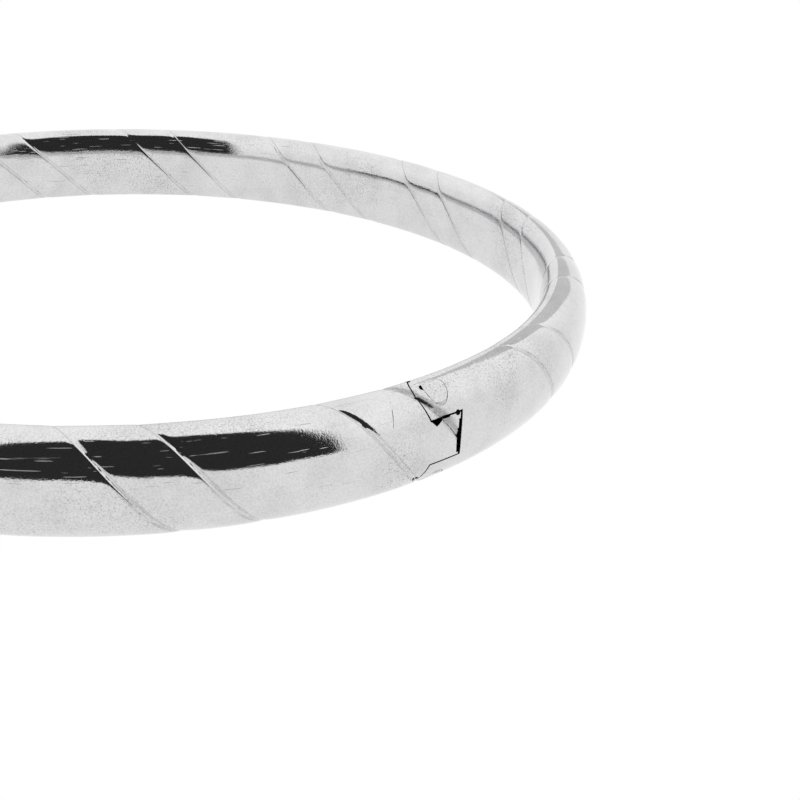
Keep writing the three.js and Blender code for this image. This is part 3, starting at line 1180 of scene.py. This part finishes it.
    def _tubes(self) -> None:
        """The three lengths of hinge tube inside the knuckles."""
        low, high = self.centre
        spans = {
            "upper": (high + self.gap, 2 * MID_Z - self.rivet_height - FIT, Body.REAR),
            "centre": (low, high, Body.FRONT),
            "lower": (self.rivet_height + FIT, low - self.gap, Body.REAR),
        }
        middle = (self.bore_radius + self.tube_radius) / 2
        half = (self.tube_radius - self.bore_radius) / 2
        for place, (bottom, top, body) in spans.items():
            profile = round_box((middle, (bottom + top) / 2), (half, (top - bottom) / 2), 0.04, 4)
            tube = Solid.ring(self.axis, profile)
            node = f"hinge_tube_{place}"
            self.bench.finish(f"{place}_hinge_tube", tube, Finishes.SATIN, body, "satin_silver", node)

    def build(self) -> None:
        """Builds and dresses the hinge."""
        self._blocks()
        self._pin()
        self._tubes()


def needle(path: Array, sides: int = 16) -> Solid:
    """A thin round cutter, its sections square to its run.

    Args:
        path: an array of x, y, z and radius.
        sides: how many sides it has.

    Returns:
        The closed cutter.
    """
    run = np.gradient(path[:, :3], axis=0)
    run /= np.linalg.norm(run, axis=1, keepdims=True)
    level = np.cross(run, [0.0, 0.0, 1.0])
    level /= np.linalg.norm(level, axis=1, keepdims=True)
    up = np.cross(level, run)
    angle = (2 * np.pi * np.arange(sides) / sides)[None, :, None]
    ring = level[:, None, :] * np.cos(angle) + up[:, None, :] * np.sin(angle)
    return Solid.from_loops(path[:, None, :3] + ring * path[:, None, 3:])


@dataclass
class SafetyCatch:
    """A flat hook on a riveted post, parked along the front half, and the ball post it swings over to."""

    bench: Bench
    arc_from_seam: float = 1.9
    post_radius: float = 0.28
    root: float = 5.56
    shoulder: tuple[float, float, float] = (0.5, 6.02, 6.14)
    rivet: tuple[float, float, float] = (0.62, 6.66, 6.92)
    ball: Point = (0.5, 7.08)
    hook: Point = (6.2, 6.6)
    eye: Point = (0.34, 0.95)
    loop: Point = (0.4, 1.05)
    waist: float = 0.9
    swell: float = 0.3
    mouth: float = 0.68
    rolled: float = 0.08
    soft: float = 0.03
    crown_foot: float = 0.06

    def _on_ring(self, run: float) -> Point:
        """The centreline's point at an arc length from the clasp seam, positive on the rear half."""
        angle = math.pi - run / RING_RADIUS
        return RING_RADIUS * math.cos(angle), RING_RADIUS * math.sin(angle)

    @property
    def pivot(self) -> Point:
        """The pivot post's place."""
        return self._on_ring(-self.arc_from_seam)

    @property
    def catch(self) -> Point:
        """The ball post's place."""
        return self._on_ring(self.arc_from_seam)

    def hole(self, place: Point) -> Solid:
        """The hole in the top of a tube for a post."""
        return Solid.prism(circle(place, self.post_radius + 0.02, 48), MID_Z, ABOVE)

    def _post(self, head: Array) -> Array:
        """A post's profile: a plain root, a soft-edged shoulder, and its head.

        Args:
            head: the head's own profile, from the bottom up.

        Returns:
            An array of radius and height.
        """
        radius, bottom, top = self.shoulder
        soft = self.soft
        root = [[0.0, self.root], [self.post_radius - soft, self.root], [self.post_radius, self.root + soft]]
        collar = [[self.post_radius, bottom], [radius - soft, bottom], [radius, bottom + soft]]
        collar += [[radius, top - soft], [radius - soft, top], [self.post_radius, top]]
        return np.vstack([root, collar, head])

    def _posts(self) -> None:
        """Both posts, turned."""
        radius, bottom, top = self.rivet
        rise = np.linspace(0.0, np.pi / 2, 9)
        foot = self.crown_foot
        level = bottom + foot + (top - bottom - foot) * np.sin(rise)
        crown = np.column_stack([radius * np.cos(rise), level])
        rivet_head = np.vstack([[[self.post_radius, bottom], [radius - self.soft, bottom]], crown])
        pivot = Solid.turned(self.pivot, self._post(rivet_head))
        silver, slot = Finishes.PLAIN, "polished_silver"
        self.bench.finish("riveted_pivot_post", pivot, silver, Body.FRONT, slot, "safety_pivot_post")
        size, height = self.ball
        turn = np.linspace(math.asin(self.post_radius / size), math.pi, 25)
        ball_head = np.column_stack([size * np.sin(turn), height - size * np.cos(turn)])
        catch = Solid.turned(self.catch, self._post(ball_head))
        self.bench.finish("ball_catch_post", catch, silver, Body.REAR, slot, "safety_catch_post")

    def _hook(self) -> None:
        """The hook: an eye and an open loop joined by a waisted bar, with rolled edges.

        The bar's half-width is half the waist in the middle and swells towards both ends by the fourth
        power of the share of its half-length. The mouth is the part of a ring about the pivot that the
        ball post sweeps through.
        """
        pivot, catch = np.array(self.pivot), np.array(self.catch)
        length = float(np.linalg.norm(pivot - catch))
        chord = 2 * RING_RADIUS * math.asin(length / 2 / RING_RADIUS)
        parked = np.array(self._on_ring(-self.arc_from_seam - chord))
        along = (parked - pivot) / length
        heading = math.atan2(along[1], along[0])
        across = np.array([-along[1], along[0]])
        share = np.linspace(0.0, 1.0, 33)[:, None]
        half = self.waist / 2 + self.swell * (2 * share - 1) ** 4
        middle = pivot + along * length * share
        bar = np.vstack([middle - across * half, (middle + across * half)[::-1]])
        low, high = self.hook
        hook = Solid.prism(circle(tuple(pivot), self.eye[1]), low, high)
        hook.work(Cut.TOGETHER, Solid.prism(bar, low, high))
        hook.work(Cut.TOGETHER, Solid.prism(circle(tuple(parked), self.loop[1]), low, high))
        hook.work(Cut.AWAY, Solid.prism(circle(tuple(pivot), self.eye[0], 48), BELOW, ABOVE))
        hook.work(Cut.AWAY, Solid.prism(circle(tuple(parked), self.loop[0], 48), BELOW, ABOVE))
        reach = -2.0 * self.loop[1] / length
        inner = arc(tuple(pivot), length - self.mouth / 2, heading, heading + reach, 24)
        outer = arc(tuple(pivot), length + self.mouth / 2, heading, heading + reach, 24)
        hook.work(Cut.AWAY, Solid.prism(np.vstack([inner, outer[::-1]]), BELOW, ABOVE))
        hook.roll_edges(self.rolled)
        wire, slot = Finishes.WIRE, "hard_wire"
        self.bench.finish("swinging_safety_hook", hook, wire, Body.SAFETY, slot, "safety_hook")

    def build(self) -> None:
        """Builds and dresses the safety catch."""
        self._posts()
        self._hook()


@dataclass
class TongueClasp:
    """A folded spring tongue on the front half that snaps behind the slotted plate on the rear half."""

    bench: Bench
    plate: float = 0.69
    tongue_width: float = 3.0
    strip: float = 0.3
    leaf_out: float = -0.25
    leaf_run: Point = (-1.6, 4.4)
    fold: Point = (0.02, 4.45)
    fold_radius: float = 0.27
    spring_end: Point = (0.7, 0.95)
    slot_reach: Point = (-0.6, 1.0)
    slot_width: float = 3.4
    slot_run: float = 1.5
    slot_corner: float = 0.15
    notch_reach: Point = (0.0, 3.06)
    notch_width: float = 1.6
    notch_depth: float = 1.55
    notch_corner: float = 0.2
    overshoot: float = 1.0
    pad_run: Point = (0.3, 1.9)
    pad_reach: Point = (2.45, 2.75)
    pad_width: float = 2.6
    pad_corner: Point = (0.5, 0.1)
    stem_root: float = 0.87
    stem_run: Point = (0.98, 1.3)
    stem_width: float = 1.2
    stem_corner: float = 0.08

    def _outward(self, rows: list[tuple[float, Array]]) -> Solid:
        """A solid lofted outward through outlines of y and z, each with its distance outward."""
        loops = [np.column_stack([np.full(len(shape), -(RING_RADIUS + out)), shape]) for out, shape in rows]
        return Solid.from_loops(np.stack(loops))

    def _block(self, reach: Point, run: Point, width: float, corner: float) -> Solid:
        """A straight block with rounded corners, centred on the tube's height.

        Args:
            reach: the distances outward between which it lies.
            run: the places on y between which it lies.
            width: its height up the tube.
            corner: the radius of its corners.

        Returns:
            The closed block.
        """
        centre, half = ((run[0] + run[1]) / 2, MID_Z), ((run[1] - run[0]) / 2, width / 2)
        shape = round_box(centre, half, corner)
        return self._outward([(reach[0], shape), (reach[1], shape)])

    def notch(self) -> Solid:
        """The open notch at the seam that the thumb tab's stem moves in."""
        run = -self.overshoot, self.notch_depth
        return self._block(self.notch_reach, run, self.notch_width, self.notch_corner)

    def _bent_strip(self, path: Array, soft: float = 0.05) -> Solid:
        """The tongue's strip bent in plan along points of distance outward and y.

        A round-cornered section, thin across and wide up, stands square to the path and is carried
        along it; the first and last sections are smaller, which rolls the ends.

        Args:
            path: an array of distance outward and y.
            soft: the radius of the section's corners.

        Returns:
            The closed strip.
        """
        points = np.column_stack([-(RING_RADIUS + path[:, 0]), path[:, 1]])
        slope = np.gradient(points, axis=0)
        slope /= np.linalg.norm(slope, axis=1, keepdims=True)
        square = np.column_stack([slope[:, 1], -slope[:, 0]])
        first, last = points[0] + slope[0] * soft, points[-1] - slope[-1] * soft
        centres = np.vstack([points[:1], first, points[1:-1], last, points[-1:]])
        squares = np.vstack([square[:1], square, square[-1:]])
        halves = self.strip / 2, self.tongue_width / 2
        section = round_box((0.0, 0.0), halves, soft, 6)
        small = section * [1 - 0.6 * soft / halves[0], 1 - 0.6 * soft / halves[1]]
        sections = np.stack([small, *[section] * (len(centres) - 2), small])
        plan = centres[:, None, :] + squares[:, None, :] * sections[:, :, :1]
        return Solid.from_loops(np.concatenate([plan, MID_Z + sections[:, :, 1:]], -1))

    def _plates(self) -> None:
        """The two end plates: the rear one slotted and notched, the front one pierced for the leaf."""
        end = math.pi * RING_RADIUS - SEAM / 2
        face, silver = self.bench.face, Finishes.POLISHED
        catch = Stretch(face, end - self.plate, end).solid()
        slotted = self._block(
            self.slot_reach, (-self.overshoot, self.slot_run), self.slot_width, self.slot_corner
        )
        catch.work(Cut.AWAY, slotted)
        catch.work(Cut.AWAY, self.notch())
        walls, slot = Finishes.SATIN, "satin_silver"
        self.bench.finish("slotted_catch_plate", catch, silver, Body.REAR, slot, "catch_plate", walls)
        tongue = Stretch(face, -end, -end + self.plate).solid()
        half = self.strip / 2 + FIT
        reach, run = (self.leaf_out - half, self.leaf_out + half), (-self.slot_run, self.overshoot)
        pierced = self._block(reach, run, self.tongue_width + 2 * FIT, 0.05)
        tongue.work(Cut.AWAY, pierced)
        self.bench.finish("pierced_tongue_plate", tongue, silver, Body.FRONT, slot, "tongue_plate", walls)

    def _tongue(self) -> None:
        """The fixed leaf, and the spring leaf that folds back outward from the tip."""
        run = np.linspace(*self.leaf_run, 9)
        leaf = self._bent_strip(np.column_stack([np.full_like(run, self.leaf_out), run]))
        wire, slot = Finishes.WIRE, "hard_wire"
        self.bench.finish("fixed_tongue_leaf", leaf, wire, Body.FRONT, slot, "tongue_leaf")
        fold = arc(self.fold, self.fold_radius, 0.0, math.pi, 25)[::-1]
        share = np.linspace(0.0, 1.0, 12)[:, None]
        tip = np.array([self.fold[0] + self.fold_radius, self.fold[1]])
        straight = (1 - share) * np.array(self.spring_end) + share * tip
        spring = self._bent_strip(np.vstack([straight[:-1], fold[::-1]]))
        self.bench.finish("folded_spring_leaf", spring, wire, Body.TONGUE, slot, "tongue_spring")

    def _tab(self) -> None:
        """The thumb tab: a crowned pad with rolled edges on a flat stem.

        The pad is lofted through shrunken outlines: its lower edge is rolled in, its side is upright,
        and its crown closes in ever faster towards the top.
        """
        low, high = self.pad_reach
        centre = (sum(self.pad_run) / 2, MID_Z)
        half = ((self.pad_run[1] - self.pad_run[0]) / 2, self.pad_width / 2)
        corner, least = self.pad_corner
        rolled = ((0.12, 0.0), (0.04, 0.03), (0.0, 0.1), (0.0, 0.16))
        crown = ((0.04, 0.22), (0.12, 0.26), (0.3, 0.29), (0.5, 0.3))
        thick = crown[-1][1]
        loft = []
        for inset, rise in (*rolled, *crown):
            shape = round_box(centre, (half[0] - inset, half[1] - inset), max(corner - inset, least), 12)
            loft.append((low + rise * (high - low) / thick, shape))
        pad = self._outward(loft)
        reach = self.stem_root, (low + high) / 2
        stem = self._block(reach, self.stem_run, self.stem_width, self.stem_corner)
        pad.work(Cut.TOGETHER, stem)
        # The tab's darker grey is painted shade.
        shaded_tab, slot = Finishes.MATT_SHADED_TAB, "polished_silver"
        self.bench.finish("crowned_thumb_tab", pad, shaded_tab, Body.TONGUE, slot, "thumb_tab")

    def build(self) -> None:
        """Builds and dresses the clasp."""
        self._plates()
        self._tongue()
        self._tab()


@dataclass
class HalfRings:
    """The two hollow tubes between the hinge blocks and the clasp plates.

    The scratch left by cleaning up the solder is given by x, y, z and radius.
    """

    bench: Bench
    hinge: KnuckleHinge
    clasp: TongueClasp
    safety: SafetyCatch
    wall: float = 0.5
    solder: tuple[Bead, ...] = (
        (30.94, -3.18, 5.76, 0.02),
        (31.45, -3.4, 5.3, 0.03),
        (31.8, -3.62, 4.64, 0.02),
    )

    def build(self) -> None:
        """Builds and dresses both tubes, notched for the thumb tab and drilled for the posts."""
        clear = math.pi * RING_RADIUS - SEAM / 2 - self.clasp.plate
        face, silver, slot = self.bench.face, Finishes.POLISHED, "polished_silver"
        front = Stretch(face, -clear, -self.hinge.front_length, wall=self.wall).solid()
        front.work(Cut.AWAY, self.safety.hole(self.safety.pivot))
        front.work(Cut.AWAY, needle(np.array(self.solder)))
        walls = Finishes.SATIN
        self.bench.finish("front_twist_tube", front, silver, Body.FRONT, slot, "front_tube", walls)
        rear = Stretch(face, self.hinge.rear_length, clear, wall=self.wall).solid()
        rear.work(Cut.AWAY, self.clasp.notch())
        rear.work(Cut.AWAY, self.safety.hole(self.safety.catch))
        self.bench.finish("rear_twist_tube", rear, silver, Body.REAR, slot, "rear_tube", walls)


# Studio


@dataclass(frozen=True)
class Card:
    """Part of a sphere that only shows in the silver.

    Its bearing, its half-width at the bottom and top, and its climb from bottom to top are in degrees.
    """

    name: str
    centre: tuple[float, float, float]
    radius: float
    bearing: float
    spread: Point
    climb: Point
    radiance: float
    lines: int = 33

    def build(self) -> None:
        """Builds the card, whose half-width changes with the cube of the share of its height."""
        shares, sides = np.linspace(0, 1, self.lines), np.linspace(-1, 1, self.lines)
        share, side = np.meshgrid(shares, sides, indexing="ij")
        climb = np.radians(self.climb[0] + (self.climb[1] - self.climb[0]) * share)
        spread = self.spread[0] + (self.spread[1] - self.spread[0]) * share**3
        turn = np.radians(self.bearing + spread * side)
        level = self.radius * np.cos(climb)
        rise = self.radius * np.sin(climb)
        points = np.stack([level * np.cos(turn), level * np.sin(turn), rise], -1) + np.array(self.centre)
        faces = grid_faces(self.lines, self.lines)[:, TURNED_OVER]
        mesh = Solid.from_grid(points * MM, faces).mesh
        mesh.materials.append(glow(self.name, self.radiance))
        item = bpy.data.objects.new(self.name, mesh)
        item.visible_camera = item.visible_diffuse = item.visible_shadow = item.visible_transmission = False
        bpy.context.scene.collection.objects.link(item)


def glow(name: str, radiance: float) -> bpy.types.Material:
    """An evenly lit neutral sheet.

    Args:
        name: the material's name.
        radiance: how bright it is, 1 for white.

    Returns:
        The material.
    """
    sheet = bpy.data.materials.new(name)
    sheet.use_nodes = True
    tree = sheet.node_tree
    tree.nodes.clear()
    links = {"Color": (radiance, radiance, radiance, 1.0), "Strength": 1.0}
    light = add_node(tree, "ShaderNodeEmission", links)
    add_node(tree, "ShaderNodeOutputMaterial", {"Surface": light.outputs["Emission"]})
    return sheet


@dataclass
class Studio:
    """White light table, soft white room, its dark front and grey back, and the camera.

    The camera's distance is in millimetres, as is its lens, and its angles are in radians. The table's
    radius is in metres.
    """

    distance: float = 95.37
    elevation: float = 0.3480
    bearing: float = 1.02746
    yaw: float = 0.221
    pitch: float = -0.092
    roll: float = 0.054
    lens: float = 58.8
    film: float = 36.0
    clip: Point = (0.001, 20.0)
    table: float = 3.0
    room_light: float = 1.15
    room_rise: float = 0.6
    dark_front: Card = Card(
        "dark_front", (26.5, -16.0, 0.5), 147.0, -29.8, (45.3, 76.3), (0.0, 84.0), 0.028
    )
    grey_back: Card = Card("grey_back", (20.0, 15.0, 0.0), 150.0, 119.0, (13.0, 13.0), (14.0, 42.0), 0.72)

    def camera(self) -> None:
        """A camera a hand's breadth from the bangle, looking down past the hinge."""
        data = bpy.data.cameras.new("camera")
        data.lens, data.sensor_width = self.lens, self.film
        data.clip_start, data.clip_end = self.clip
        climb = -self.elevation + self.pitch
        sideways, ahead = math.sin(self.yaw) * math.cos(climb), math.cos(self.yaw) * math.cos(climb)
        forward = Vector((sideways, ahead, math.sin(climb)))
        level = forward.cross(Vector((0, 0, 1))).normalized()
        up = level.cross(forward)
        right = level * math.cos(self.roll) + up * math.sin(self.roll)
        top = up * math.cos(self.roll) - level * math.sin(self.roll)
        back = Vector((0.0, -math.cos(self.elevation), math.sin(self.elevation))) * self.distance
        turn = Matrix.Rotation(self.bearing, 3, "Z")
        axes = Matrix((turn @ right, turn @ top, turn @ -forward)).transposed().to_4x4()
        place = (turn @ back + Vector((0, 0, MID_Z))) * MM
        item = bpy.data.objects.new("camera", data)
        item.matrix_world = Matrix.Translation(place) @ axes
        bpy.context.scene.collection.objects.link(item)
        bpy.context.scene.camera = item

    def floor(self) -> None:
        """A white light table."""
        mesh = bpy.data.meshes.new("floor")
        edge = circle((0.0, 0.0), self.table)
        points = np.column_stack([edge, np.zeros(len(edge))])
        mesh.from_pydata(points.tolist(), [], [list(range(len(edge)))])
        mesh.materials.append(glow("light_table", 1.0))
        item = bpy.data.objects.new("floor", mesh)
        bpy.context.scene.collection.objects.link(item)

    def room(self) -> None:
        """A white room, as bright as the table low down and a little brighter overhead.

        The brightness goes by the height of a direction, with a smooth step from the horizon up.
        """
        world = bpy.data.worlds.new("room")
        world.use_nodes = True
        tree = world.node_tree
        towards = add_node(tree, "ShaderNodeTexCoord").outputs["Generated"]
        height = add_node(tree, "ShaderNodeSeparateXYZ", {"Vector": towards}).outputs["Z"]
        rise = {"Value": height, "From Min": 0.0, "From Max": self.room_rise}
        rise |= {"To Min": 1.0, "To Max": self.room_light}
        strength = add_node(tree, "ShaderNodeMapRange", rise, interpolation_type="SMOOTHSTEP")
        background = tree.nodes["Background"]
        background.inputs["Color"].default_value = (1.0, 1.0, 1.0, 1.0)
        tree.links.new(strength.outputs["Result"], background.inputs["Strength"])
        bpy.context.scene.world = world
        bpy.context.scene.view_settings.view_transform = "Standard"

    def build(self) -> None:
        """Sets the stage."""
        self.camera()
        self.floor()
        self.room()
        self.dark_front.build()
        self.grey_back.build()


def main() -> None:
    """Builds the bangle, piece by piece, and its studio."""
    logging.basicConfig(level=logging.INFO, format="%(name)s: %(message)s")
    bench = Bench(Finishes(), RingFace())
    Studio().build()
    hinge, clasp, safety = KnuckleHinge(bench), TongueClasp(bench), SafetyCatch(bench)
    hinge.build()
    HalfRings(bench, hinge, clasp, safety).build()
    clasp.build()
    safety.build()


if __name__ == "__main__":
    main()
